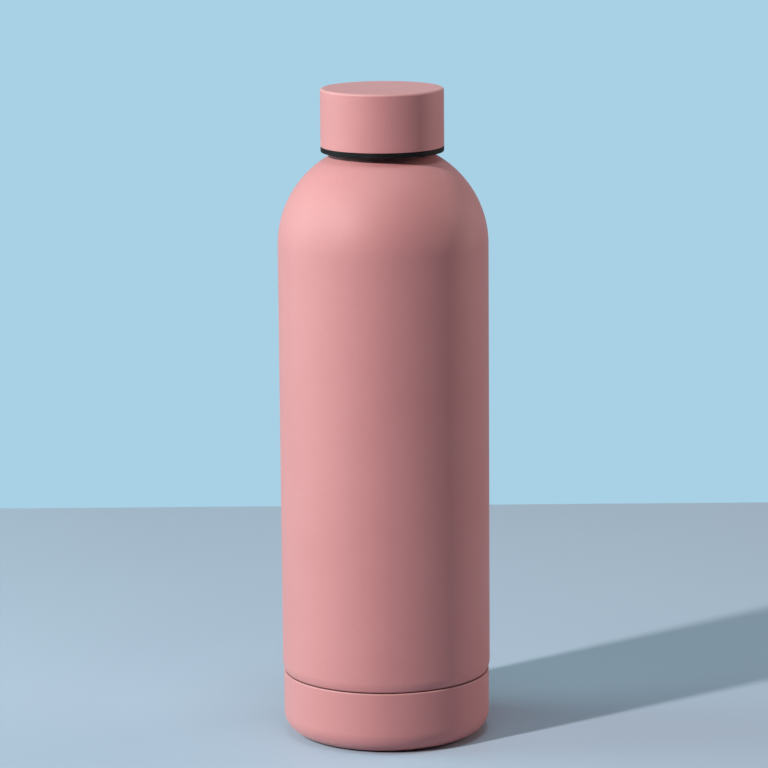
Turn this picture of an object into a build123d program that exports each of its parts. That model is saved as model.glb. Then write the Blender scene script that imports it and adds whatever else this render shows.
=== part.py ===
"""Double-walled vacuum bottle with a screw cap, in millimetres.

The bottle stands on Z = 0 with its axis on Z. The cap unscrews anticlockwise seen from
above. Each function builds one piece, and each piece is written to its own STEP file.
"""

import os
from math import acos, asin, cos, degrees, sin, sqrt, tan

from build123d import *

# ---- Driving dimensions ----

# Overall
body_radius = 35.0
total_height = 218.2
shoulder_rise = 34.2  # height of the shoulder's quarter ellipse
seam_height = 21.0  # top edge of the base cup

# Sheet metal and joints between pieces
outer_wall = 0.5
inner_wall = 0.4
plate_wall = 0.5
vacuum_gap = 3.5
weld_gap = 0.03  # left between pieces that are welded, pressed or bonded together

# Neck and mouth
neck_fillet = 1.0
neck_gap = 1.4  # vacuum space between the two walls of the neck
neck_clearance = 0.38  # from the foot of the neck up to the cap's flange
rim_drop = 7.2  # from the top of the cap down to the mouth's rim
lip_height = 0.8
lip_round = 0.3

# Lower end of the outer shell
swage_depth = 0.8
swage_height = 3.4
seam_lip = 0.3  # height of the open groove above the base cup

# Base cup
base_step = 0.3  # how much smaller the cup's radius is than the body's
base_wall = 0.6
base_corner = 7.0
base_lip_round = 0.35
foot_radius = 23.0  # inner edge of the ring that the bottle stands on
foot_recess = 1.2
foot_round = 0.4
bond_gap = 0.4  # room for adhesive between the spigot and the cup
adhesive_margin = 1.2  # left free of adhesive at each end of the spigot

# Vessel floor
floor_height = 17.0
floor_corner = 6.0
floor_skirt = 9.0  # from the floor up to the weld with the liner's tube

# Plate that closes the vacuum space, and its glass seal
closure_gap = 4.6  # vacuum space between the vessel's floor and the closing plate
closure_flange = 3.5
closure_round = 1.2
hole_radius = 1.2
dimple_radius = 4.0
dimple_depth = 1.4
dimple_slope = 1.0
bead_height = 1.1
bead_round = 0.5

# Getter pellet, its strap and the foil
getter_radius = 4.5
getter_height = 1.8
getter_offset = 17.0
strap_width = 3.0
strap_wall = 0.3
strap_foot = 2.5
foil_wall = 0.15
foil_gap = 0.1
foil_slit = 2.0
foil_margin = 6.0  # left bare at each end of the liner's tube

# Screw thread
thread_pitch = 4.0
thread_starts = 2
thread_depth = 0.9
thread_taper = 1.0  # how much wider a ridge is at its wall than at its crest
thread_gap = 0.3  # radial play between the neck and the cap
thread_play = 0.37  # axial play on each side of a ridge
thread_sink = 0.25  # how deep a ridge is rooted in its wall
thread_fade = 1.2  # height over which a ridge runs out at each end
neck_thread_rise = 2.6  # from the cap's lower edge up to the neck's thread
neck_thread_drop = 2.0  # from the rim down to the neck's thread
cap_thread_rise = 1.0  # from the cap's lower edge up to the cap's thread
cap_thread_drop = 1.6  # from the washer's groove down to the cap's thread

# Cap cover
cap_radius = 20.45
cap_height = 19.34
cap_wall = 0.6
cap_edge_round = 0.9
cap_hem_round = 0.25

# Cap core
flange_height = 1.7
flange_round = 0.3
core_wall = 1.5
core_roof = 1.8
collar_height = 1.5  # locates the cap cover on the core's flange
rib_count = 12
rib_width = 1.2
rib_depth = 1.45
plug_play = 0.9
plug_wall = 1.3
plug_floor = 1.4
plug_depth = 6.0  # below the rim
plug_round = 0.8

# Washer, foam and lid in the cap
seal_gap = 0.05
seal_body = 1.0
seal_bead = 0.3
seal_play = 0.25
lid_wall = 1.4
lid_ledge = 1.0
foam_play = 0.1
pad_margin = 1.0

# ---- Sizes that follow ----

# Cap and neck, from the cap's outside inwards
cap_bottom = total_height - cap_height
cap_inner = cap_radius - cap_wall
flange_bottom = cap_bottom - flange_height
core_radius = cap_inner - rib_depth
core_bore = core_radius - core_wall
neck_radius = core_bore - thread_gap - thread_depth  # at the root of the thread
neck_inner = neck_radius - outer_wall
mouth_radius = neck_inner - neck_gap - inner_wall
plug_radius = mouth_radius - plug_play
plug_inner = plug_radius - plug_wall

# Cap, from the rim upwards
rim_height = total_height - rim_drop
plug_bottom = rim_height - plug_depth
seal_bottom = rim_height + seal_gap
seal_top = seal_bottom + seal_body + 2 * seal_bead
roof_bottom = seal_top + seal_gap
roof_top = roof_bottom + core_roof
lid_bottom = roof_top - lid_wall

# Thread
thread_lead = thread_pitch * thread_starts
thread_overlap = thread_taper * (1 - thread_gap / thread_depth)
thread_crest = (thread_pitch - 2 * thread_play - thread_overlap) / 2
thread_base = thread_crest + thread_taper

# Shell and liner
neck_foot = flange_bottom - neck_clearance
shoulder_height = neck_foot - shoulder_rise * sqrt(1 - (neck_radius / body_radius) ** 2)
liner_radius = body_radius - outer_wall - vacuum_gap
liner_rise = shoulder_rise - outer_wall - vacuum_gap
liner_bottom = floor_height + floor_skirt

# Lower end
groove_height = seam_height + seam_lip
base_radius = body_radius - base_step
base_inner = base_radius - base_wall
spigot_radius = base_inner - bond_gap
spigot_inner = spigot_radius - outer_wall
closure_height = floor_height - inner_wall - closure_gap
spigot_end = closure_height - closure_flange


# ---- Shared shapes ----


def spin(edges):
    """Turn a closed outline on the XZ plane into a round solid."""
    return revolve(Plane.XZ * make_face(edges), Axis.Z)


def spin_points(*points):
    """Turn a closed outline of straight lines into a round solid."""
    return spin(Polyline(*points, close=True).edges())


def tube(outer, inner, low, high):
    """A plain round tube between two heights."""
    return Pos(0, 0, low) * extrude(Circle(outer) - Circle(inner), high - low)


def disc(radius, low, high):
    """A plain round disc between two heights."""
    return Pos(0, 0, low) * extrude(Circle(radius), high - low)


def rims(solid, radius, height):
    """The round edges of a solid at one radius and height."""
    near = 0.01
    round_edges = solid.edges().filter_by(GeomType.CIRCLE)
    level = round_edges.filter_by_position(Axis.Z, height - near, height + near)
    return level.filter_by(lambda rim: abs(rim.radius - radius) < near)


def dome_arc(width, rise, neck):
    """Elliptical shoulder curve, from the straight wall up to the neck."""
    turn = acos(neck / width)
    start = (width, shoulder_height)
    corner = (width, shoulder_height + rise * tan(turn / 2))
    end = (neck, shoulder_height + rise * sin(turn))
    return Bezier(start, corner, end, weights=[1, cos(turn / 2), 1])


# ---- Threads ----


def fade_room(root, crest, low, high):
    """Ring-shaped room of a thread, sloped at both ends so that its ridges run out."""
    outward = 1 if crest > root else -1
    spare = thread_depth
    fade_spare = thread_fade * spare / thread_depth
    inner = root - outward * spare
    outer = crest + outward * spare
    fade_outer = thread_fade + fade_spare
    return spin_points(
        (inner, low - fade_spare),
        (outer, low + fade_outer),
        (outer, high - fade_outer),
        (inner, high + fade_spare),
    )


def ridge_section(root, crest):
    """Cross-section of a ridge, rooted a little inside its wall."""
    outward = 1 if crest > root else -1
    slope = (thread_base - thread_crest) / 2 / thread_depth
    buried = root - outward * thread_sink
    buried_half = thread_base / 2 + slope * thread_sink
    crest_half = thread_crest / 2
    return make_face(
        Polyline(
            (buried, -buried_half),
            (crest, -crest_half),
            (crest, crest_half),
            (buried, buried_half),
            close=True,
        )
    )


def ridge(root, crest, low, high, phase):
    """One start of a thread, at the angle phase + 360 * height / lead."""
    spare = thread_pitch
    start = low - spare
    path = Helix(thread_lead, high - low + 2 * spare, root)
    swept = sweep(Plane.XZ * ridge_section(root, crest), path=path, is_frenet=True)
    turn = phase + 360 * start / thread_lead
    placed = Pos(0, 0, start) * Rot(0, 0, turn) * swept
    return placed & fade_room(root, crest, low, high)


def with_thread(wall, root, crest, low, high, phase):
    """Add all starts of a thread to the wall that carries it."""
    for start in range(thread_starts):
        wall = wall + ridge(root, crest, low, high, phase + 360 * start / thread_starts)
    return wall


# ---- Bottle ----


def outer_shell():
    """Coated shell: threaded neck, shoulder, tube and the swaged spigot under the seam."""
    inner_width = body_radius - outer_wall
    inner_rise = shoulder_rise - outer_wall
    neck_top = rim_height - lip_height - weld_gap
    swage_round = (swage_height**2 + swage_depth**2) / (2 * swage_depth)
    swage_turn = -degrees(asin(swage_height / swage_round))
    swage_centre = (body_radius - swage_round, groove_height + swage_height)
    outside = dome_arc(body_radius, shoulder_rise, neck_radius)
    inside = dome_arc(inner_width, inner_rise, neck_inner)
    bend = CenterArc(swage_centre, swage_round, 0, swage_turn)
    inner_bend = CenterArc(swage_centre, swage_round - outer_wall, 0, swage_turn)
    foot = Polyline(
        bend @ 1,
        (spigot_radius, seam_height),
        (spigot_radius, spigot_end),
        (spigot_inner, spigot_end),
        (spigot_inner, groove_height),
        inner_bend @ 1,
    )
    top = Polyline(inside @ 1, (neck_inner, neck_top), (neck_radius, neck_top), outside @ 1)
    wall = Line(outside @ 0, bend @ 0)
    inner_wall_line = Line(inner_bend @ 0, inside @ 0)
    edges = [outside, wall, bend, *foot.edges(), inner_bend, inner_wall_line, inside]
    shell = spin(edges + top.edges())
    shell = fillet(rims(shell, neck_radius, neck_foot), neck_fillet)
    thread_low = cap_bottom + neck_thread_rise
    thread_high = rim_height - neck_thread_drop
    crest = neck_radius + thread_depth
    return with_thread(shell, neck_radius, crest, thread_low, thread_high, 0)


def inner_vessel():
    """Liner: mouth lip, neck, shoulder and tube, open at the bottom."""
    inner_width = liner_radius - inner_wall
    inner_rise = liner_rise - inner_wall
    neck_outer = mouth_radius + inner_wall
    outside = dome_arc(liner_radius, liner_rise, neck_outer)
    inside = dome_arc(inner_width, inner_rise, mouth_radius)
    lip = Polyline(
        outside @ 1,
        (neck_outer, rim_height - lip_height),
        (neck_radius, rim_height - lip_height),
        (neck_radius, rim_height),
        (mouth_radius, rim_height),
        inside @ 1,
    )
    foot = Polyline(
        inside @ 0,
        (inner_width, liner_bottom + weld_gap),
        (liner_radius, liner_bottom + weld_gap),
        outside @ 0,
    )
    vessel = spin([outside, inside, *lip.edges(), *foot.edges()])
    upper_rims = rims(vessel, neck_radius, rim_height) + rims(vessel, mouth_radius, rim_height)
    return fillet(upper_rims, lip_round)


def inner_bottom():
    """Drawn floor of the liner, butt-welded to its tube."""
    under = floor_height - inner_wall
    cup = disc(liner_radius, under, liner_bottom)
    cup = fillet(rims(cup, liner_radius, under), floor_corner + inner_wall)
    room = disc(liner_radius - inner_wall, floor_height, liner_bottom)
    room = fillet(rims(room, liner_radius - inner_wall, floor_height), floor_corner)
    return cup - room


def middle_bottom():
    """Flanged plate that closes the vacuum space, with the pump-out hole in a dimple."""
    rim = spigot_inner - weld_gap
    under = closure_height - plate_wall
    plate = disc(rim, spigot_end, closure_height)
    plate = fillet(rims(plate, rim, closure_height), closure_round)
    room = disc(rim - plate_wall, spigot_end, under)
    room = fillet(rims(room, rim - plate_wall, under), closure_round - plate_wall)
    top_radius = dimple_radius - dimple_slope
    boss = Pos(0, 0, closure_height) * Cone(
        dimple_radius + plate_wall,
        top_radius + plate_wall,
        dimple_depth,
        align=(Align.CENTER, Align.CENTER, Align.MIN),
    )
    dimple = Pos(0, 0, under) * Cone(
        dimple_radius, top_radius, dimple_depth, align=(Align.CENTER, Align.CENTER, Align.MIN)
    )
    hole = disc(hole_radius, under, closure_height + dimple_depth)
    return plate + boss - room - dimple - hole


def vacuum_seal():
    """Glass bead that was melted into the dimple and closes the pump-out hole."""
    top = closure_height - plate_wall + dimple_depth - weld_gap
    top_radius = dimple_radius - dimple_slope - weld_gap
    low_radius = top_radius + dimple_slope * bead_height / dimple_depth - weld_gap
    shape = Cone(low_radius, top_radius, bead_height, align=(Align.CENTER, Align.CENTER, Align.MAX))
    bead = Pos(0, 0, top) * shape
    return fillet(rims(bead, low_radius, top - bead_height), bead_round)


def getter():
    """Gas-absorbing pellet on the closing plate, in the vacuum space."""
    low = closure_height + weld_gap
    return Pos(getter_offset, 0, 0) * disc(getter_radius, low, low + getter_height)


def getter_clip():
    """Spring-steel strap over the pellet, spot-welded to the plate by its two feet."""
    reach = getter_radius + weld_gap
    low = closure_height + weld_gap
    top = low + getter_height + weld_gap
    side = reach + strap_wall
    foot = side + strap_foot
    strap = Polyline(
        (-foot, low),
        (-reach, low),
        (-reach, top),
        (reach, top),
        (reach, low),
        (foot, low),
        (foot, low + strap_wall),
        (side, low + strap_wall),
        (side, top + strap_wall),
        (-side, top + strap_wall),
        (-side, low + strap_wall),
        (-foot, low + strap_wall),
        close=True,
    )
    across = Plane.YZ.offset(getter_offset - strap_width / 2)
    return extrude(across * make_face(strap), strap_width)


def heat_foil():
    """Foil wrapped round the liner's tube, open along one line."""
    inside = liner_radius + foil_gap
    low = liner_bottom + foil_margin
    high = shoulder_height - foil_margin
    wrap = tube(inside + foil_wall, inside, low, high)
    slit = Box(2 * foil_margin, foil_slit, high, align=(Align.CENTER, Align.CENTER, Align.MIN))
    return wrap - Pos(-inside, 0, low) * slit


def base_cup():
    """Coated cup over the spigot, with a rounded lower edge and a recessed underside."""
    cup = disc(base_radius, 0, seam_height)
    cup = fillet(rims(cup, base_radius, 0), base_corner)
    cup = fillet(rims(cup, base_radius, seam_height), base_lip_round)
    room = disc(base_inner, base_wall, seam_height)
    room = fillet(rims(room, base_inner, base_wall), base_corner - base_wall)
    raised = disc(foot_radius + base_wall, 0, foot_recess + base_wall)
    recess = disc(foot_radius, 0, foot_recess)
    cup = cup - room + raised - recess
    folds = rims(cup, foot_radius, 0) + rims(cup, foot_radius, foot_recess)
    folds += rims(cup, foot_radius + base_wall, foot_recess + base_wall)
    return fillet(folds, foot_round)


def base_adhesive():
    """Bonding layer between the spigot and the base cup."""
    low = spigot_end + adhesive_margin
    high = seam_height - adhesive_margin
    return tube(base_inner - weld_gap, spigot_radius + weld_gap, low, high)


# ---- Cap ----


def cap_shell():
    """Coated cover of the cap."""
    cover = disc(cap_radius, cap_bottom, total_height)
    cover = fillet(rims(cover, cap_radius, total_height), cap_edge_round)
    cover = fillet(rims(cover, cap_radius, cap_bottom), cap_hem_round)
    room = disc(cap_inner, cap_bottom, total_height - cap_wall)
    room = fillet(rims(room, cap_inner, total_height - cap_wall), cap_edge_round - cap_wall)
    return cover - room


def core_rib(angle):
    """One upright rib between the core's wall and the cap cover."""
    low = cap_bottom - weld_gap
    overlap = core_wall / 2
    depth = cap_inner - weld_gap - core_radius + overlap
    rib = Box(depth, rib_width, roof_top - low, align=(Align.MIN, Align.CENTER, Align.MIN))
    return Rot(0, 0, angle) * Pos(core_radius - overlap, 0, low) * rib


def core_plug():
    """Hollow plug that hangs into the mouth and holds the foam."""
    plug = disc(plug_radius, plug_bottom, roof_top)
    return fillet(rims(plug, plug_radius, plug_bottom), plug_round)


def cap_core():
    """Moulded core: visible flange, threaded wall, ribs, roof and plug."""
    flange_top = cap_bottom - weld_gap
    flange_bottom = cap_bottom - flange_height
    flange = disc(cap_radius, flange_bottom, flange_top)
    flange = fillet(rims(flange, cap_radius, flange_bottom), flange_round)
    core = flange + disc(cap_inner - weld_gap, flange_top, flange_top + collar_height)
    core = core + disc(core_radius, flange_top, roof_top)
    core = core - disc(core_bore, flange_bottom, roof_bottom)
    for index in range(rib_count):
        core = core + core_rib(360 * index / rib_count)
    reach = disc(cap_inner - weld_gap, flange_bottom, roof_top)
    core = core & (reach + flange)
    core = core + core_plug()
    core = core - disc(plug_inner, plug_bottom + plug_floor, roof_top)
    core = core - disc(plug_inner + lid_ledge, lid_bottom, roof_top)
    low = cap_bottom + cap_thread_rise
    high = seal_bottom - cap_thread_drop
    crest = core_bore - thread_depth
    return with_thread(core, core_bore, crest, low, high, 180 / thread_starts)


def cap_core_lid():
    """Disc welded over the foam, flush with the core's roof."""
    radius = plug_inner + lid_ledge - weld_gap
    return disc(radius, lid_bottom + weld_gap, roof_top)


def cap_insulation():
    """Foam puck in the plug."""
    return disc(plug_inner - foam_play, plug_bottom + plug_floor + weld_gap, lid_bottom)


def cap_pad():
    """Foam disc that bonds the core's roof to the cap cover."""
    radius = core_radius - pad_margin
    return disc(radius, roof_top + weld_gap, total_height - cap_wall - weld_gap)


def cap_seal():
    """Silicone washer with a sealing bead on both faces."""
    inner = plug_radius + seal_play
    outer = core_bore - seal_play
    low = seal_bottom + seal_bead
    washer = tube(outer, inner, low, low + seal_body)
    bead_radius = (mouth_radius + neck_radius) / 2
    for height in (low, low + seal_body):
        washer = washer + Pos(0, 0, height) * Torus(bead_radius, seal_bead)
    return washer


pieces = {
    "outer_shell": outer_shell,
    "inner_vessel": inner_vessel,
    "inner_bottom": inner_bottom,
    "middle_bottom": middle_bottom,
    "vacuum_seal": vacuum_seal,
    "getter": getter,
    "getter_clip": getter_clip,
    "heat_foil": heat_foil,
    "base_cup": base_cup,
    "base_adhesive": base_adhesive,
    "cap_shell": cap_shell,
    "cap_core": cap_core,
    "cap_core_lid": cap_core_lid,
    "cap_insulation": cap_insulation,
    "cap_pad": cap_pad,
    "cap_seal": cap_seal,
}

os.makedirs("parts", exist_ok=True)
for name, build in pieces.items():
    export_step(build(), f"parts/{name}.step")
    print("wrote", name)
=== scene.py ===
import math
import bpy
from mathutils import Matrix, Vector


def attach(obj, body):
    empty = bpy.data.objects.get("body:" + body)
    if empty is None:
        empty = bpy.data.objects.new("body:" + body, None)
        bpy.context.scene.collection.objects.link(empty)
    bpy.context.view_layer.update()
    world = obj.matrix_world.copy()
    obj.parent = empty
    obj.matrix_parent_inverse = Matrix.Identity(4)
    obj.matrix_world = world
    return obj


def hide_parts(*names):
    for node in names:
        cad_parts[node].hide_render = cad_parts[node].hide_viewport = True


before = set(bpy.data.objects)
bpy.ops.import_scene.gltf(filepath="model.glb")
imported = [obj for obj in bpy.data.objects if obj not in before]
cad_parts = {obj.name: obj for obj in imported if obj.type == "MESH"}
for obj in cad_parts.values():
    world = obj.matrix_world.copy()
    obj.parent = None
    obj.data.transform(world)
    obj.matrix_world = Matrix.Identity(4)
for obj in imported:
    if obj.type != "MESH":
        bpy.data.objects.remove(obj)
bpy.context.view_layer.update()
print("frame loaded:", len(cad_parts), "nodes")

mm = 0.001  # sizes are in millimetres unless a note says otherwise
fullTurn = 2 * math.pi
mergeReach = 0.000001  # metres, for merging doubles
pickReach = 0.004  # a vertex this near a drawn corner is that corner
cornerSteps = ((0.6, 3), (2, 6), (math.inf, 14))  # roundings below each size, and their steps
smoothAngle = 32  # degrees, edges sharper than this stay sharp
ridgeAngle = 38  # degrees, the same for pieces that carry a thread
normalWeight = 60


def startClean():
    if bpy.context.object and bpy.context.object.mode != "OBJECT":
        bpy.ops.object.mode_set(mode="OBJECT")
    bpy.ops.object.select_all(action="DESELECT")


def makeActive(piece):
    startClean()
    piece.select_set(True)
    bpy.context.view_layer.objects.active = piece


def selectVertices(piece, wanted):
    # wanted takes a place in millimetres, and says yes or no
    makeActive(piece)
    bpy.ops.object.mode_set(mode="EDIT")
    bpy.ops.mesh.select_mode(type="VERT")
    bpy.ops.mesh.select_all(action="DESELECT")
    bpy.ops.object.mode_set(mode="OBJECT")
    for vertex in piece.data.vertices:
        vertex.select = wanted(vertex.co / mm)
    bpy.ops.object.mode_set(mode="EDIT")


def applyModifier(piece, kind, **settings):
    makeActive(piece)
    bpy.ops.object.modifier_add(type=kind)
    modifier = piece.modifiers[-1]
    for name, value in settings.items():
        setattr(modifier, name, value)
    bpy.ops.object.modifier_apply(modifier=modifier.name)


def tidyMesh(piece):
    makeActive(piece)
    bpy.ops.object.mode_set(mode="EDIT")
    bpy.ops.mesh.select_all(action="SELECT")
    bpy.ops.mesh.remove_doubles(threshold=mergeReach)
    bpy.ops.mesh.normals_make_consistent(inside=False)
    bpy.ops.object.mode_set(mode="OBJECT")


def smoothPiece(piece, angle):
    makeActive(piece)
    bpy.ops.object.shade_smooth_by_angle(angle=math.radians(angle))
    applyModifier(piece, "WEIGHTED_NORMAL", keep_sharp=True, weight=normalWeight)


def startPoint(name, radius, height):
    # a small square, merged to the one point that an outline starts from
    startClean()
    bpy.ops.mesh.primitive_plane_add(size=mm, location=(radius * mm, 0, height * mm))
    piece = bpy.context.object
    piece.name = name
    piece.data.name = name
    bpy.ops.object.transform_apply(location=True, rotation=False, scale=False)
    bpy.ops.object.mode_set(mode="EDIT")
    bpy.ops.mesh.select_mode(type="VERT")
    bpy.ops.mesh.select_all(action="SELECT")
    bpy.ops.mesh.merge(type="CENTER")
    return piece


def drawOutline(name, points, closed):
    # points are (radius, height) or (radius, height, rounding)
    piece = startPoint(name, points[0][0], points[0][1])
    track = [point[:2] for point in points] + ([points[0][:2]] if closed else [])
    for before, after in zip(track, track[1:]):
        step = ((after[0] - before[0]) * mm, 0, (after[1] - before[1]) * mm)
        bpy.ops.mesh.extrude_vertices_move(TRANSFORM_OT_translate={"value": step})
    bpy.ops.mesh.select_all(action="SELECT")
    bpy.ops.mesh.remove_doubles(threshold=mergeReach)
    bpy.ops.object.mode_set(mode="OBJECT")
    for radius, height, rounding in [point for point in points if len(point) == 3]:
        corner = Vector((radius, 0, height))
        selectVertices(piece, lambda place: (place - corner).length < pickReach)
        arcSteps = next(steps for limit, steps in cornerSteps if rounding < limit)
        bpy.ops.mesh.bevel(
            offset=rounding * mm, segments=arcSteps, affect="VERTICES", clamp_overlap=True)
        bpy.ops.object.mode_set(mode="OBJECT")
    return piece


def lathe(name, points, columns, closed=True):
    piece = drawOutline(name, points, closed)
    makeActive(piece)
    bpy.ops.object.mode_set(mode="EDIT")
    bpy.ops.mesh.select_all(action="SELECT")
    bpy.ops.mesh.spin(steps=columns, angle=fullTurn, center=(0, 0, 0), axis=(0, 0, 1))
    bpy.ops.object.mode_set(mode="OBJECT")
    tidyMesh(piece)
    return piece


def joinInto(piece, others):
    # a clean union, so that the piece stays one closed shell
    for other in others:
        applyModifier(piece, "BOOLEAN", operation="UNION", solver="EXACT", object=other)
        bpy.data.objects.remove(other)


def shoulderPoints(width, rise, neckRadius, base, count):
    # part of a quarter ellipse, from the straight wall up to the neck
    turn = math.acos(neckRadius / width)
    angles = [turn * index / count for index in range(count + 1)]
    return [(width * math.cos(a), base + rise * math.sin(a)) for a in angles]


def arcPoints(centre, radius, first, last, count):
    angles = [math.radians(first + (last - first) * index / count) for index in range(count + 1)]
    return [(centre[0] + radius * math.cos(a), centre[1] + radius * math.sin(a)) for a in angles]


def makeRidge(name, thread, phase):
    # one start of a thread: a section stood on the XZ plane, screwed up the axis
    outward = 1 if thread["crest"] > thread["root"] else -1
    buried = thread["root"] - outward * thread["sink"]
    depth = abs(thread["crest"] - buried)
    low = thread["low"] + thread["baseWidth"] / 2
    high = thread["high"] - thread["baseWidth"] / 2
    startClean()
    bpy.ops.mesh.primitive_plane_add(size=1, rotation=(math.pi / 2, 0, 0))
    ridge = bpy.context.object
    ridge.name = name
    ridge.scale = (depth * mm, thread["baseWidth"] * mm, 1)
    ridge.location = ((buried + thread["crest"]) / 2 * mm, 0, low * mm)
    bpy.ops.object.transform_apply(location=True, rotation=True, scale=True)
    selectVertices(ridge, lambda place: abs(place.x - thread["crest"]) < pickReach)
    bpy.ops.transform.resize(value=(1, 1, thread["crestWidth"] / thread["baseWidth"]))
    bpy.ops.mesh.bevel(
        offset=thread["round"] * mm, segments=thread["roundSteps"], affect="VERTICES")
    bpy.ops.mesh.select_all(action="SELECT")
    bpy.ops.mesh.delete(type="ONLY_FACE")
    bpy.ops.object.mode_set(mode="OBJECT")
    ringSize = len(ridge.data.vertices)
    steps = thread["steps"]
    applyModifier(
        ridge, "SCREW", axis="Z", angle=fullTurn * (high - low) / thread["lead"],
        screw_offset=(high - low) * mm, steps=steps, render_steps=steps,
        use_merge_vertices=False)
    # the ends run out into the wall
    for step in range(thread["fadeSteps"]):
        share = 1 - step / thread["fadeSteps"]
        for section in (step, steps - step):
            first = section * ringSize
            makeActive(ridge)
            bpy.ops.object.mode_set(mode="EDIT")
            bpy.ops.mesh.select_all(action="DESELECT")
            bpy.ops.object.mode_set(mode="OBJECT")
            for vertex in ridge.data.vertices[first:first + ringSize]:
                reach = math.hypot(vertex.co.x, vertex.co.y) / mm
                vertex.select = outward * (reach - thread["root"]) > -thread["skin"]
            bpy.ops.object.mode_set(mode="EDIT")
            sunk = thread["crest"] - outward * share * depth * thread["fadeDepth"]
            shrink = sunk / thread["crest"]
            bpy.ops.transform.resize(value=(shrink, shrink, 1), center_override=(0, 0, 0))
            bpy.ops.object.mode_set(mode="OBJECT")
    # close both ends, then turn the ridge to its own start
    makeActive(ridge)
    bpy.ops.object.mode_set(mode="EDIT")
    bpy.ops.mesh.select_all(action="DESELECT")
    bpy.ops.mesh.select_mode(type="EDGE")
    bpy.ops.mesh.select_non_manifold()
    bpy.ops.mesh.fill_holes(sides=0)
    bpy.ops.mesh.select_all(action="SELECT")
    bpy.ops.mesh.normals_make_consistent(inside=False)
    bpy.ops.object.mode_set(mode="OBJECT")
    ridge.rotation_euler = (0, 0, math.radians(phase) + fullTurn * low / thread["lead"])
    bpy.ops.object.transform_apply(location=False, rotation=True, scale=False)
    return ridge


def addNode(tree, kind, sockets=None, **settings):
    node = tree.nodes.new(kind)
    for name, value in settings.items():
        setattr(node, name, value)
    for name, value in (sockets or {}).items():
        if isinstance(value, bpy.types.NodeSocket):
            tree.links.new(value, node.inputs[name])
        else:
            node.inputs[name].default_value = value
    return node


def newGroup(name, inputs, outputs):
    # an input whose value is None is a vector
    tree = bpy.data.node_groups.new(name, "ShaderNodeTree")
    for label, value in inputs.items():
        kind = "NodeSocketVector" if value is None else "NodeSocketFloat"
        socket = tree.interface.new_socket(name=label, in_out="INPUT", socket_type=kind)
        if value is not None:
            socket.default_value = value
    for label in outputs:
        tree.interface.new_socket(name=label, in_out="OUTPUT", socket_type="NodeSocketFloat")
    return tree, tree.nodes.new("NodeGroupInput"), tree.nodes.new("NodeGroupOutput")


def doMath(tree, operation, first, second=0.0, third=None):
    sockets = {0: first, 1: second}
    if third is not None:
        sockets[2] = third
    return addNode(tree, "ShaderNodeMath", sockets, operation=operation).outputs[0]


def noiseOf(tree, vector, scale, detail, roughness=0.5):
    sockets = {"Vector": vector, "Scale": scale, "Detail": detail, "Roughness": roughness}
    return addNode(tree, "ShaderNodeTexNoise", sockets).outputs["Fac"]


def rampOf(tree, value, low, high, first=0.0, last=1.0):
    sockets = {"Value": value, "From Min": low, "From Max": high, "To Min": first, "To Max": last}
    return addNode(tree, "ShaderNodeMapRange", sockets, clamp=True).outputs["Result"]


def distanceFromAxis(tree, across, along):
    squares = [doMath(tree, "POWER", side, 2.0) for side in (across, along)]
    return doMath(tree, "POWER", doMath(tree, "ADD", squares[0], squares[1]), 0.5)


grainNoise = {
    "grain": (3.0, 0.6), "peel": (1.0, 0.4), "drift": (3.0, 0.55),  # detail and roughness
    "peelShare": 0.8, "driftRange": (0.32, 0.68), "fleckRange": (0.35, 0.65)}


def makeGrainGroup(v):
    # fine skin of a sprayed or moulded surface, with a slow drift of tone over it
    inputs = {"Vector": None, "Grain Scale": 3000.0, "Drift Scale": 40.0, "Peel Scale": 500.0}
    tree, start, end = newGroup("surfaceGrain", inputs, ["Height", "Drift", "Fleck"])
    place = start.outputs["Vector"]
    grain = noiseOf(tree, place, start.outputs["Grain Scale"], *v["grain"])
    peel = noiseOf(tree, place, start.outputs["Peel Scale"], *v["peel"])
    drift = noiseOf(tree, place, start.outputs["Drift Scale"], *v["drift"])
    height = doMath(tree, "MULTIPLY_ADD", peel, v["peelShare"], grain)
    tree.links.new(height, end.inputs["Height"])
    tree.links.new(rampOf(tree, drift, *v["driftRange"]), end.inputs["Drift"])
    tree.links.new(rampOf(tree, grain, *v["fleckRange"]), end.inputs["Fleck"])
    return tree


def makeDustGroup():
    # few small specks: most cells stay empty, and each speck has its own size
    inputs = {"Vector": None, "Cell Scale": 300.0, "Share": 0.05, "Size": 0.12}
    tree, start, end = newGroup("dustSpecks", inputs, ["Mask"])
    sockets = {"Vector": start.outputs["Vector"], "Scale": start.outputs["Cell Scale"]}
    cells = addNode(tree, "ShaderNodeTexVoronoi", sockets, feature="F1")
    parts = addNode(tree, "ShaderNodeSeparateColor", {"Color": cells.outputs["Color"]})
    chosen = doMath(tree, "LESS_THAN", parts.outputs["Red"], start.outputs["Share"])
    reach = doMath(tree, "MULTIPLY", parts.outputs["Green"], start.outputs["Size"])
    inside = doMath(tree, "LESS_THAN", cells.outputs["Distance"], reach)
    tree.links.new(doMath(tree, "MULTIPLY", chosen, inside), end.inputs["Mask"])
    return tree


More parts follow.
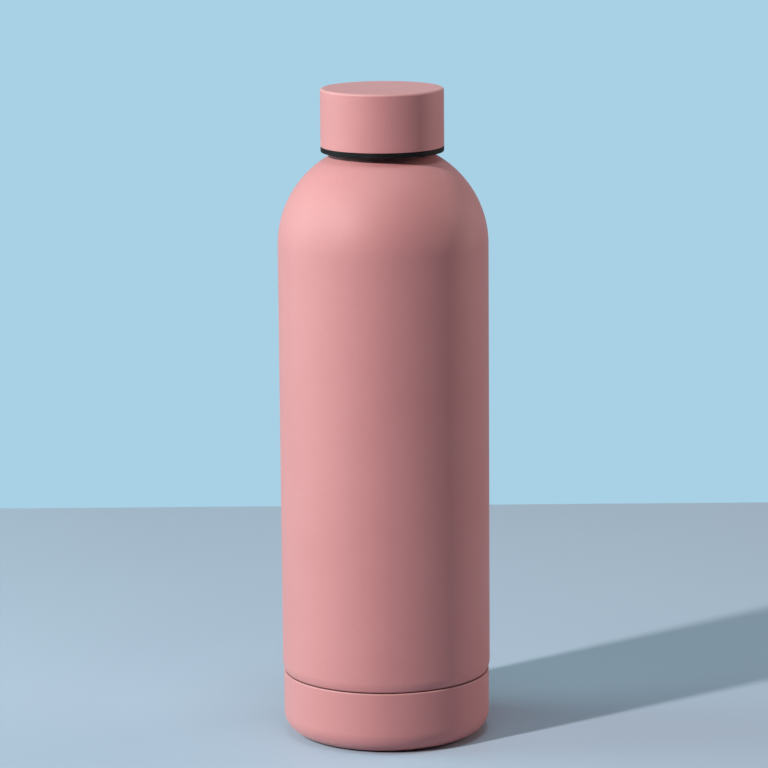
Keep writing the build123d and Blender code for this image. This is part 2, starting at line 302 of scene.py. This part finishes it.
def makeBandGroup():
    # soft band round the axis, at one height and radius, in metres
    inputs = {
        "Vector": None, "Height": 0.0, "Half Width": 0.001, "Radius": 0.0, "Radius Width": 1.0}
    tree, start, end = newGroup("heightBand", inputs, ["Mask"])
    parts = addNode(tree, "ShaderNodeSeparateXYZ", {"Vector": start.outputs["Vector"]})
    apart = distanceFromAxis(tree, parts.outputs["X"], parts.outputs["Y"])
    closeness = []
    for value, middle, width in (
            (parts.outputs["Z"], "Height", "Half Width"), (apart, "Radius", "Radius Width")):
        away = doMath(tree, "SUBTRACT", value, start.outputs[middle])
        share = doMath(tree, "DIVIDE", doMath(tree, "ABSOLUTE", away), start.outputs[width])
        closeness.append(rampOf(tree, doMath(tree, "SUBTRACT", 1.0, share), 0.0, 1.0))
    tree.links.new(doMath(tree, "MULTIPLY", *closeness), end.inputs["Mask"])
    return tree


lineNoise = {
    "lines": (4.0, 0.7), "smudge": (4.0, 0.6), "wideDetail": 2.0, "wideStep": 9.0,
    "slope": 0.7, "squeeze": (0.02, 0.02, 1.0),
    "streakRange": (0.3, 0.7), "smudgeRange": (0.35, 0.7)}


def makeTurnedGroup(v):
    # lines left by polishing a turning part: long round the axis, fine across it
    inputs = {"Vector": None, "Line Scale": 6000.0, "Run": 0.02, "Smudge Scale": 90.0}
    tree, start, end = newGroup("turnedLines", inputs, ["Height", "Streak", "Smudge"])
    parts = addNode(tree, "ShaderNodeSeparateXYZ", {"Vector": start.outputs["Vector"]})
    across, along, up = (parts.outputs[axis] for axis in "XYZ")
    angle = doMath(tree, "ARCTAN2", along, across)
    apart = distanceFromAxis(tree, across, along)
    # the sine and cosine keep the lines whole where the angle starts again
    run = start.outputs["Run"]
    wrap = addNode(tree, "ShaderNodeCombineXYZ", {
        "X": doMath(tree, "MULTIPLY", doMath(tree, "SINE", angle), run),
        "Y": doMath(tree, "MULTIPLY", doMath(tree, "COSINE", angle), run),
        "Z": doMath(tree, "ADD", up, doMath(tree, "MULTIPLY", apart, v["slope"]))}).outputs[0]
    squeeze = addNode(
        tree, "ShaderNodeVectorMath", {0: wrap, 1: v["squeeze"]}, operation="MULTIPLY").outputs[0]
    scale = start.outputs["Line Scale"]
    lines = noiseOf(tree, squeeze, scale, *v["lines"])
    wideScale = doMath(tree, "DIVIDE", scale, v["wideStep"])
    wide = noiseOf(tree, squeeze, wideScale, v["wideDetail"])
    smudge = noiseOf(
        tree, start.outputs["Vector"], start.outputs["Smudge Scale"], *v["smudge"])
    tree.links.new(doMath(tree, "ADD", lines, wide), end.inputs["Height"])
    tree.links.new(rampOf(tree, lines, *v["streakRange"]), end.inputs["Streak"])
    tree.links.new(rampOf(tree, smudge, *v["smudgeRange"]), end.inputs["Smudge"])
    return tree


surfaceGrain = makeGrainGroup(grainNoise)
dustSpecks = makeDustGroup()
heightBand = makeBandGroup()
turnedLines = makeTurnedGroup(lineNoise)
print("shader groups made")


def startMaterial(name, **constants):
    # a constant is named as its socket is, with underscores for spaces
    material = bpy.data.materials.new(name)
    material.use_nodes = True
    tree = material.node_tree
    shader = tree.nodes["Principled BSDF"]
    for label, value in constants.items():
        shader.inputs[label.replace("_", " ")].default_value = value
    place = addNode(tree, "ShaderNodeTexCoord").outputs["Object"]
    return material, tree, shader, place


def useGroup(tree, group, place, values):
    node = addNode(tree, "ShaderNodeGroup", node_tree=group)
    tree.links.new(place, node.inputs["Vector"])
    for label, value in values.items():
        node.inputs[label].default_value = value
    return node.outputs


def mixColours(tree, amount, first, second):
    sockets = {"Factor": amount, "A": first, "B": second}
    node = addNode(tree, "ShaderNodeMix", data_type="RGBA")
    for label, value in sockets.items():
        kind = "VALUE" if label == "Factor" else "RGBA"
        socket = next(s for s in node.inputs if s.name == label and s.type == kind)
        if isinstance(value, bpy.types.NodeSocket):
            tree.links.new(value, socket)
        else:
            socket.default_value = value
    return next(s for s in node.outputs if s.type == "RGBA")


def addBump(tree, shader, height, strength, depth):
    sockets = {"Height": height, "Strength": strength, "Distance": depth * mm}
    bump = addNode(tree, "ShaderNodeBump", sockets)
    tree.links.new(bump.outputs["Normal"], shader.inputs["Normal"])


softTouch = {
    "colour": (0.535, 0.197, 0.192, 1), "deeper": (0.51, 0.182, 0.178, 1),
    # the second colour on the next line is a painted highlight for rounded edges, and the
    # near-black colour under it is painted shade for a groove and the foot
    "dust": (0.78, 0.62, 0.58, 1), "paintedHighlight": (0.62, 0.34, 0.32, 1),
    "paintedShade": (0.075, 0.020, 0.020, 1),
    "specular": 0.35, "sheen": 0.12, "sheenRough": 0.45, "sheenTint": (1.0, 0.9, 0.9, 1),
    "grain": {"Grain Scale": 3800.0, "Drift Scale": 28.0, "Peel Scale": 420.0},
    "specks": {"Cell Scale": 210.0, "Share": 0.035, "Size": 0.055},
    "fleckShare": 0.06, "dustShare": 0.55, "bandLimit": 0.97,
    "roughLow": 0.50, "roughHigh": 0.60, "bump": 0.12, "bumpDepth": 0.03}


def makeBand(height, halfWidth, radius, radiusWidth, strength):
    # where a band lies, in metres, and how much of its colour it lays on
    place = {
        "Height": height, "Half Width": halfWidth, "Radius": radius, "Radius Width": radiusWidth}
    return place, strength


def makeSoftTouch(name, paintedHighlightBand=None, paintedShadeBand=None):
    v = softTouch
    material, tree, shader, place = startMaterial(
        name, Specular_IOR_Level=v["specular"], Sheen_Weight=v["sheen"],
        Sheen_Roughness=v["sheenRough"], Sheen_Tint=v["sheenTint"])
    grain = useGroup(tree, surfaceGrain, place, v["grain"])
    specks = useGroup(tree, dustSpecks, place, v["specks"])
    tone = mixColours(tree, grain["Drift"], v["colour"], v["deeper"])
    fleck = doMath(tree, "MULTIPLY", grain["Fleck"], v["fleckShare"])
    tone = mixColours(tree, fleck, tone, v["dust"])
    # a band of the first kind lays a painted highlight along a rounded edge; one of the second
    # kind lays painted shade in a groove and under the foot
    for band, colour in ((paintedHighlightBand, v["paintedHighlight"]), (paintedShadeBand, v["paintedShade"])):
        if band:
            mask = useGroup(tree, heightBand, place, band[0])["Mask"]
            full = doMath(tree, "MULTIPLY", mask, band[1])
            share = doMath(tree, "MINIMUM", full, v["bandLimit"])
            tone = mixColours(tree, share, tone, colour)
    dusty = doMath(tree, "MULTIPLY", specks["Mask"], v["dustShare"])
    tone = mixColours(tree, dusty, tone, v["dust"])
    tree.links.new(tone, shader.inputs["Base Color"])
    rough = rampOf(tree, grain["Drift"], 0.0, 1.0, v["roughLow"], v["roughHigh"])
    tree.links.new(rough, shader.inputs["Roughness"])
    addBump(tree, shader, grain["Height"], v["bump"], v["bumpDepth"])
    return material


mouldedSkin = {
    "specks": {"Cell Scale": 420.0, "Share": 0.03, "Size": 0.1}, "dust": (0.5, 0.48, 0.46, 1),
    "peelStep": 6, "paleShare": 0.5, "dustShare": 0.3,
    "smoother": 0.06, "rougher": 0.08, "bumpDepth": 0.03}


def makeMoulded(name, colour, pale, rough, grainScale, bump, driftScale=120.0, **constants):
    v = mouldedSkin
    material, tree, shader, place = startMaterial(name, **constants)
    grain = useGroup(tree, surfaceGrain, place, {
        "Grain Scale": grainScale, "Drift Scale": driftScale,
        "Peel Scale": grainScale / v["peelStep"]})
    specks = useGroup(tree, dustSpecks, place, v["specks"])
    paler = doMath(tree, "MULTIPLY", grain["Drift"], v["paleShare"])
    dusty = doMath(tree, "MULTIPLY", specks["Mask"], v["dustShare"])
    tone = mixColours(tree, paler, colour, pale)
    tone = mixColours(tree, dusty, tone, v["dust"])
    tree.links.new(tone, shader.inputs["Base Color"])
    uneven = rampOf(
        tree, grain["Drift"], 0.0, 1.0, rough - v["smoother"], rough + v["rougher"])
    tree.links.new(uneven, shader.inputs["Roughness"])
    addBump(tree, shader, grain["Height"], bump, v["bumpDepth"])
    return material


turnedSkin = {"smoother": 0.05, "rougher": 0.08, "smudgeRough": 0.06, "bumpDepth": 0.02}


def makeTurned(name, colour, darker, rough, lineScale, bump):
    v = turnedSkin
    material, tree, shader, place = startMaterial(name, Metallic=1.0)
    turned = useGroup(tree, turnedLines, place, {"Line Scale": lineScale})
    tone = mixColours(tree, turned["Smudge"], colour, darker)
    tree.links.new(tone, shader.inputs["Base Color"])
    streaky = rampOf(
        tree, turned["Streak"], 0.0, 1.0, rough - v["smoother"], rough + v["rougher"])
    smeared = doMath(tree, "MULTIPLY_ADD", turned["Smudge"], v["smudgeRough"], streaky)
    tree.links.new(smeared, shader.inputs["Roughness"])
    addBump(tree, shader, turned["Height"], bump, v["bumpDepth"])
    return material


# painted shade in the groove at the seam above the cup
coatingBody = makeSoftTouch("softTouchBody", paintedShadeBand=makeBand(
    height=0.0211, halfWidth=0.0007, radius=0.0336, radiusWidth=0.0014, strength=2.0))
# painted highlight along the rounded top edge of the cap
coatingCap = makeSoftTouch("softTouchCap", paintedHighlightBand=makeBand(
    height=0.2180, halfWidth=0.0006, radius=0.0202, radiusWidth=0.0012, strength=0.5))
# painted highlight along the cup's rounded lip, and painted shade on the underside round the foot
# where it meets the table
coatingCup = makeSoftTouch("softTouchCup", paintedHighlightBand=makeBand(
    height=0.0209, halfWidth=0.0005, radius=0.0346, radiusWidth=0.0006, strength=0.4),
    paintedShadeBand=makeBand(
        height=0.0, halfWidth=0.0014, radius=0.0275, radiusWidth=0.0040, strength=1.2))
blackPlastic = makeMoulded(
    "blackPlastic", colour=(0.0065, 0.0058, 0.0055, 1), pale=(0.022, 0.021, 0.020, 1),
    rough=0.52, grainScale=5200.0, bump=0.14, driftScale=650.0, Specular_IOR_Level=0.08)
turnedSteel = makeTurned(
    "turnedSteel", colour=(0.62, 0.60, 0.57, 1), darker=(0.55, 0.53, 0.50, 1),
    rough=0.26, lineScale=5200.0, bump=0.25)
polishedLiner = makeTurned(
    "polishedLiner", colour=(0.66, 0.64, 0.61, 1), darker=(0.60, 0.58, 0.55, 1),
    rough=0.20, lineScale=3600.0, bump=0.15)
washerSilicone = makeMoulded(
    "washerSilicone", colour=(0.62, 0.61, 0.58, 1), pale=(0.70, 0.69, 0.66, 1),
    rough=0.48, grainScale=2600.0, bump=0.08, Subsurface_Weight=0.15, Subsurface_Scale=0.002)
insulationFoam = makeMoulded(
    "insulationFoam", colour=(0.72, 0.72, 0.70, 1), pale=(0.82, 0.82, 0.80, 1),
    rough=0.85, grainScale=1500.0, bump=0.9)
epoxy = makeMoulded(
    "epoxyBond", colour=(0.42, 0.36, 0.24, 1), pale=(0.52, 0.45, 0.30, 1),
    rough=0.45, grainScale=900.0, bump=0.4)
sealGlass = makeMoulded(
    "solderGlass", colour=(0.05, 0.06, 0.07, 1), pale=(0.09, 0.10, 0.11, 1),
    rough=0.18, grainScale=700.0, bump=0.2)
getterAlloy = makeMoulded(
    "getterAlloy", colour=(0.20, 0.20, 0.21, 1), pale=(0.30, 0.30, 0.31, 1),
    rough=0.62, grainScale=4200.0, bump=0.7, Metallic=0.7)
copperFoil = makeTurned(
    "copperFoil", colour=(0.75, 0.36, 0.22, 1), darker=(0.62, 0.27, 0.16, 1),
    rough=0.30, lineScale=1400.0, bump=0.5)
print("materials made")


def placePiece(piece, body, nodes, material, angle=smoothAngle):
    smoothPiece(piece, angle)
    piece.data.materials.clear()
    piece.data.materials.append(material)
    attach(piece, body)
    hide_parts(*nodes)
    print(piece.name, "has", len(piece.data.polygons), "faces")


shell = {
    "radius": 35.0, "wall": 0.5, "rise": 34.2, "shoulder": 166.204, "neck": 15.7,
    "coat": 0.05, "coatEnd": 199.3, "footFillet": 1.0, "step": 21.0, "stepWall": 0.3,
    "swageTop": 24.7, "swageRound": 7.625, "swageTurn": -26.48,  # degrees
    "spigot": 33.7, "spigotEnd": 8.5,
    "outsideSteps": 44, "insideSteps": 30, "swageSteps": 8, "innerSwageSteps": 6,
    "columns": 180}


def makeBodyShell(v):
    neckOut = v["neck"] + v["coat"]
    neckIn = v["neck"] - v["wall"]
    bendCentre = (v["radius"] - v["swageRound"], v["swageTop"])
    outside = shoulderPoints(v["radius"], v["rise"], neckOut, v["shoulder"], v["outsideSteps"])
    inside = shoulderPoints(
        v["radius"] - v["wall"], v["rise"] - v["wall"], neckIn, v["shoulder"],
        v["insideSteps"])
    swage = arcPoints(bendCentre, v["swageRound"], v["swageTurn"], 0, v["swageSteps"])
    inner = arcPoints(
        bendCentre, v["swageRound"] - v["wall"], v["swageTurn"], 0, v["innerSwageSteps"])
    spigotIn = v["spigot"] - v["wall"]
    outline = [(v["spigot"], v["spigotEnd"]), (v["spigot"], v["step"])]
    outline += swage
    outline += outside[:-1]
    outline += [(neckOut, outside[-1][1], v["footFillet"]), (neckOut, v["coatEnd"])]
    outline += [(neckIn, v["coatEnd"])]
    outline += inside[::-1] + inner[::-1]
    outline += [(spigotIn, v["step"] + v["stepWall"]), (spigotIn, v["spigotEnd"])]
    return lathe("bodyShell", outline, v["columns"])


placePiece(makeBodyShell(shell), "bottle", ["outer_shell"], coatingBody)

neckThread = {
    "root": 15.7, "crest": 16.6, "low": 201.46, "high": 209.0, "lead": 8.0,
    "crestWidth": 1.30, "baseWidth": 2.58, "sink": 0.25, "skin": 0.1,
    "round": 0.28, "roundSteps": 3, "steps": 84, "fadeSteps": 12, "fadeDepth": 0.93}
neck = {
    "outer": 15.7, "inner": 15.2, "low": 199.33, "top": 210.17, "round": 0.12,
    "starts": (0, 180), "columns": 144}  # starts in degrees


def makeNeckSleeve(v, thread):
    outline = [
        (v["outer"], v["low"]), (v["outer"], v["top"], v["round"]),
        (v["inner"], v["top"]), (v["inner"], v["low"])]
    sleeve = lathe("neckSleeve", outline, v["columns"])
    ridges = [makeRidge("neckRidge" + str(phase), thread, phase) for phase in v["starts"]]
    joinInto(sleeve, ridges)
    return sleeve


placePiece(
    makeNeckSleeve(neck, neckThread), "bottle", ["outer_shell"], turnedSteel,
    ridgeAngle)

liner = {
    "radius": 31.0, "wall": 0.4, "rise": 30.2, "shoulder": 166.204, "low": 26.03,
    "neckOut": 13.8, "mouth": 13.4, "lipOut": 15.7, "lipLow": 210.2, "rim": 211.0,
    "lipRound": 0.3, "outsideSteps": 30, "insideSteps": 36, "columns": 144}


def makeLiner(v):
    insideRadius = v["radius"] - v["wall"]
    outside = shoulderPoints(
        v["radius"], v["rise"], v["neckOut"], v["shoulder"], v["outsideSteps"])
    inside = shoulderPoints(
        insideRadius, v["rise"] - v["wall"], v["mouth"], v["shoulder"], v["insideSteps"])
    outline = [(v["radius"], v["low"])] + outside
    outline += [(v["neckOut"], v["lipLow"]), (v["lipOut"], v["lipLow"])]
    outline += [(v["lipOut"], v["rim"], v["lipRound"]), (v["mouth"], v["rim"], v["lipRound"])]
    outline += inside[::-1] + [(insideRadius, v["low"])]
    return lathe("liner", outline, v["columns"])


placePiece(makeLiner(liner), "bottle", ["inner_vessel"], polishedLiner)

linerFloor = {
    "radius": 31.0, "wall": 0.4, "under": 16.6, "floor": 17.0, "top": 26.0, "corner": 6.0,
    "ringRadius": 18.0, "ringWidth": 0.7, "ringDepth": 0.12, "columns": 144}


def makeLinerFloor(v):
    insideRadius = v["radius"] - v["wall"]
    outline = [
        (0, v["under"]), (v["radius"], v["under"], v["corner"] + v["wall"]),
        (v["radius"], v["top"]), (insideRadius, v["top"]),
        (insideRadius, v["floor"], v["corner"]),
        (v["ringRadius"] + v["ringWidth"], v["floor"]),
        (v["ringRadius"], v["floor"] - v["ringDepth"]),
        (v["ringRadius"] - v["ringWidth"], v["floor"]), (0, v["floor"])]
    return lathe("linerFloor", outline, v["columns"], closed=False)


placePiece(makeLinerFloor(linerFloor), "bottle", ["inner_bottom"], polishedLiner)

cup = {
    "radius": 34.7, "wall": 0.6, "top": 21.0, "corner": 7.0, "lip": 0.35,
    "footRadius": 23.0, "recess": 1.2, "fold": 0.4, "columns": 180}


def makeBaseCup(v):
    insideRadius = v["radius"] - v["wall"]
    outline = [
        (0, v["recess"]), (v["footRadius"], v["recess"], v["fold"]),
        (v["footRadius"], 0, v["fold"]), (v["radius"], 0, v["corner"]),
        (v["radius"], v["top"], v["lip"]), (insideRadius, v["top"]),
        (insideRadius, v["wall"], v["corner"] - v["wall"]),
        (v["footRadius"] + v["wall"], v["wall"]),
        (v["footRadius"] + v["wall"], v["recess"] + v["wall"], v["fold"]),
        (0, v["recess"] + v["wall"])]
    return lathe("baseCup", outline, v["columns"], closed=False)


placePiece(makeBaseCup(cup), "bottle", ["base_cup"], coatingCup)
print("bottle pieces made")

cover = {
    "radius": 20.45, "wall": 0.6, "low": 198.86, "top": 218.2, "edge": 0.9, "hem": 0.25,
    "columns": 180}


def makeCapCover(v):
    insideRadius = v["radius"] - v["wall"]
    outline = [
        (0, v["top"]), (v["radius"], v["top"], v["edge"]), (v["radius"], v["low"], v["hem"]),
        (insideRadius, v["low"]), (insideRadius, v["top"] - v["wall"], v["edge"] - v["wall"]),
        (0, v["top"] - v["wall"])]
    return lathe("capCover", outline, v["columns"], closed=False)


placePiece(makeCapCover(cover), "cap", ["cap_shell"], coatingCap)

core = {
    "flange": 20.45, "flangeLow": 197.16, "flangeTop": 198.83, "flangeRound": 0.3,
    "collar": 19.82, "collarTop": 200.33, "wallOut": 18.4, "bore": 16.9, "mouthRound": 0.25,
    "roofLow": 212.7, "roofTop": 214.5, "ledge": 12.2, "ledgeLow": 213.1,
    "plugOut": 12.5, "plugIn": 11.2, "plugLow": 205.0, "plugFloor": 206.4, "plugRound": 0.8,
    "gateRadius": 1.1, "gateDepth": 0.3,
    "starts": (90, 270), "columns": 180}  # starts in degrees
coreThread = {
    "root": 16.9, "crest": 16.0, "low": 199.86, "high": 209.45, "lead": 8.0,
    "crestWidth": 1.30, "baseWidth": 2.58, "sink": 0.25, "skin": 0.1,
    "round": 0.2, "roundSteps": 3, "steps": 96, "fadeSteps": 12, "fadeDepth": 0.93}
rib = {
    "count": 12, "width": 1.2, "inner": 17.65, "outer": 19.82, "low": 199.0, "top": 214.4,
    "cutBack": 1.0, "cutSteps": 3, "edgeReach": 0.1}


def makeRib(v, angle):
    startClean()
    bpy.ops.mesh.primitive_cube_add(size=1)
    piece = bpy.context.object
    piece.scale = ((v["outer"] - v["inner"]) * mm, v["width"] * mm, (v["top"] - v["low"]) * mm)
    piece.location = ((v["outer"] + v["inner"]) / 2 * mm, 0, (v["top"] + v["low"]) / 2 * mm)
    bpy.ops.object.transform_apply(location=True, rotation=False, scale=True)
    # the outer upper edge is cut back, so that the cover slides on
    edgeRadius = v["outer"] - v["edgeReach"]
    edgeHeight = v["top"] - v["edgeReach"]
    selectVertices(piece, lambda place: place.x > edgeRadius and place.z > edgeHeight)
    bpy.ops.mesh.select_mode(type="EDGE")
    bpy.ops.mesh.bevel(offset=v["cutBack"] * mm, segments=v["cutSteps"], affect="EDGES")
    bpy.ops.object.mode_set(mode="OBJECT")
    piece.rotation_euler = (0, 0, math.radians(angle))
    bpy.ops.object.transform_apply(location=False, rotation=True, scale=False)
    return piece


def makeCapCore(v, thread, ribValues):
    outline = [
        (0, v["plugLow"] + v["gateDepth"]), (v["gateRadius"], v["plugLow"] + v["gateDepth"]),
        (v["gateRadius"], v["plugLow"]), (v["plugOut"], v["plugLow"], v["plugRound"]),
        (v["plugOut"], v["roofLow"]), (v["bore"], v["roofLow"]),
        (v["bore"], v["flangeLow"], v["mouthRound"]),
        (v["flange"], v["flangeLow"], v["flangeRound"]), (v["flange"], v["flangeTop"]),
        (v["collar"], v["flangeTop"]), (v["collar"], v["collarTop"]),
        (v["wallOut"], v["collarTop"]), (v["wallOut"], v["roofTop"]),
        (v["ledge"], v["roofTop"]), (v["ledge"], v["ledgeLow"]),
        (v["plugIn"], v["ledgeLow"]), (v["plugIn"], v["plugFloor"]), (0, v["plugFloor"])]
    piece = lathe("capCore", outline, v["columns"], closed=False)
    ridges = [makeRidge("coreRidge" + str(phase), thread, phase) for phase in v["starts"]]
    spacing = 360 / ribValues["count"]
    ribs = [makeRib(ribValues, spacing * index) for index in range(ribValues["count"])]
    joinInto(piece, ridges + ribs)
    return piece


placePiece(
    makeCapCore(core, coreThread, rib), "cap", ["cap_core"], blackPlastic,
    ridgeAngle)

washer = {
    "inner": 12.75, "outer": 16.65, "low": 211.35, "top": 212.35, "edge": 0.15,
    "bead": 0.3, "beadRadius": 14.55, "beadSteps": 8, "columns": 144}


def makeWasher(v):
    under = arcPoints((v["beadRadius"], v["low"]), v["bead"], 180, 360, v["beadSteps"])
    over = arcPoints((v["beadRadius"], v["top"]), v["bead"], 0, 180, v["beadSteps"])
    outline = [(v["inner"], v["low"], v["edge"])] + under + [(v["outer"], v["low"], v["edge"])]
    outline += [(v["outer"], v["top"], v["edge"])] + over + [(v["inner"], v["top"], v["edge"])]
    return lathe("capWasher", outline, v["columns"])


placePiece(makeWasher(washer), "washer", ["cap_seal"], washerSilicone)
print("cap pieces made")

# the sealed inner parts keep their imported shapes
innerFinishes = {
    "middle_bottom": turnedSteel, "getter_clip": turnedSteel, "getter": getterAlloy,
    "vacuum_seal": sealGlass, "heat_foil": copperFoil, "base_adhesive": epoxy,
    "cap_core_lid": blackPlastic, "cap_insulation": insulationFoam, "cap_pad": insulationFoam}
for nodeName, finish in innerFinishes.items():
    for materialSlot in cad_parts[nodeName].material_slots:
        materialSlot.material = finish
print("inner parts finished")

tableTop = {
    "left": -4.0, "right": 4.0, "front": -4.0, "back": 0.345, "thickness": 0.02,  # metres
    "colour": (0.375, 0.425, 0.505, 1), "paler": (0.395, 0.447, 0.528, 1),
    "grain": {"Grain Scale": 900.0, "Drift Scale": 3.0, "Peel Scale": 120.0},
    "roughLow": 0.50, "roughHigh": 0.58, "bump": 0.05, "bumpDepth": 0.05}


def makeFloor(v):
    startClean()
    bpy.ops.mesh.primitive_plane_add(size=1)
    floor = bpy.context.object
    floor.name = "floor"
    floor.scale = (v["right"] - v["left"], v["back"] - v["front"], 1)
    floor.location = ((v["right"] + v["left"]) / 2, (v["back"] + v["front"]) / 2, 0)
    bpy.ops.object.transform_apply(location=True, rotation=False, scale=True)
    bpy.ops.object.mode_set(mode="EDIT")
    bpy.ops.mesh.select_all(action="SELECT")
    bpy.ops.mesh.extrude_region_move(TRANSFORM_OT_translate={"value": (0, 0, -v["thickness"])})
    bpy.ops.mesh.select_all(action="SELECT")
    bpy.ops.mesh.normals_make_consistent(inside=False)
    bpy.ops.object.mode_set(mode="OBJECT")
    material, tree, shader, place = startMaterial("paleTable")
    grain = useGroup(tree, surfaceGrain, place, v["grain"])
    tone = mixColours(tree, grain["Drift"], v["colour"], v["paler"])
    tree.links.new(tone, shader.inputs["Base Color"])
    rough = rampOf(tree, grain["Drift"], 0.0, 1.0, v["roughLow"], v["roughHigh"])
    tree.links.new(rough, shader.inputs["Roughness"])
    addBump(tree, shader, grain["Height"], v["bump"], v["bumpDepth"])
    floor.data.materials.append(material)


makeFloor(tableTop)

# places and sizes in metres, power in watts
lights = {
    "keyLight": {"place": (-1.424, -1.101, 1.27), "aim": (0, 0, 0.10), "size": 0.11,
                 "power": 49.0, "colour": (1.0, 1.0, 1.0)},
    "leftSoft": {"place": (-1.25, 0.10, 0.55), "aim": (0, 0, 0.12), "size": 0.9,
                 "power": 13.4, "colour": (0.60, 0.98, 1.0)},
    "topSoft": {"place": (0.05, -0.20, 1.25), "aim": (0, 0, 0.15), "size": 0.5,
                "power": 5.2, "colour": (0.62, 0.92, 1.0)},
    "rightSoft": {"place": (1.0, 0.30, 0.40), "aim": (0, 0, 0.11), "size": 0.7,
                  "power": 4.8, "colour": (1.0, 0.80, 0.73)}}


def makeLight(name, v):
    startClean()
    bpy.ops.object.light_add(type="AREA", location=v["place"])
    lamp = bpy.context.object
    lamp.name = name
    lamp.data.shape = "DISK"
    lamp.data.size = v["size"]
    lamp.data.energy = v["power"]
    lamp.data.color = v["colour"]
    lamp.visible_camera = False
    aim = Vector(v["aim"]) - Vector(v["place"])
    lamp.rotation_euler = aim.to_track_quat("-Z", "Y").to_euler()


for lightName, lightValues in lights.items():
    makeLight(lightName, lightValues)

room = {
    "seen": (0.395, 0.635, 0.785, 1), "dim": (0.02, 0.02, 0.022, 1),
    "wall": (0.26, 0.33, 0.42, 1), "wallStart": 0.45, "wallFull": 0.85}


def makeWorld(v):
    # the camera sees a plain pale backdrop; the room's light comes from a pale wall behind
    world = bpy.data.worlds.new("paleRoom")
    world.use_nodes = True
    tree = world.node_tree
    aim = addNode(tree, "ShaderNodeTexCoord").outputs["Generated"]
    parts = addNode(tree, "ShaderNodeSeparateXYZ", {"Vector": aim})
    behind = rampOf(tree, parts.outputs["Y"], v["wallStart"], v["wallFull"])
    light = tree.nodes["Background"]
    tree.links.new(mixColours(tree, behind, v["dim"], v["wall"]), light.inputs["Color"])
    seen = addNode(tree, "ShaderNodeBackground", {"Color": v["seen"]})
    path = addNode(tree, "ShaderNodeLightPath")
    both = addNode(tree, "ShaderNodeMixShader", {
        0: path.outputs["Is Camera Ray"], 1: light.outputs[0], 2: seen.outputs[0]})
    tree.links.new(both.outputs[0], tree.nodes["World Output"].inputs["Surface"])
    bpy.context.scene.world = world


makeWorld(room)

# place, near and far in metres, pitch and roll in radians, focal length and sensor in mm
lens = {
    "place": (-0.00008, -1.2642, 0.36007), "pitch": 0.1886, "roll": -0.0080,
    "focal": 180.5, "sensor": 36.0, "near": 0.05, "far": 50.0}
bpy.ops.object.camera_add(location=lens["place"])
camera = bpy.context.object
camera.name = "camera"
camera.rotation_mode = "ZYX"
camera.rotation_euler = (math.pi / 2 - lens["pitch"], 0, lens["roll"])
camera.data.lens = lens["focal"]
camera.data.sensor_width = lens["sensor"]
camera.data.clip_start = lens["near"]
camera.data.clip_end = lens["far"]
bpy.context.scene.camera = camera
bpy.context.scene.view_settings.view_transform = "Standard"
print("floor, lights and camera made")
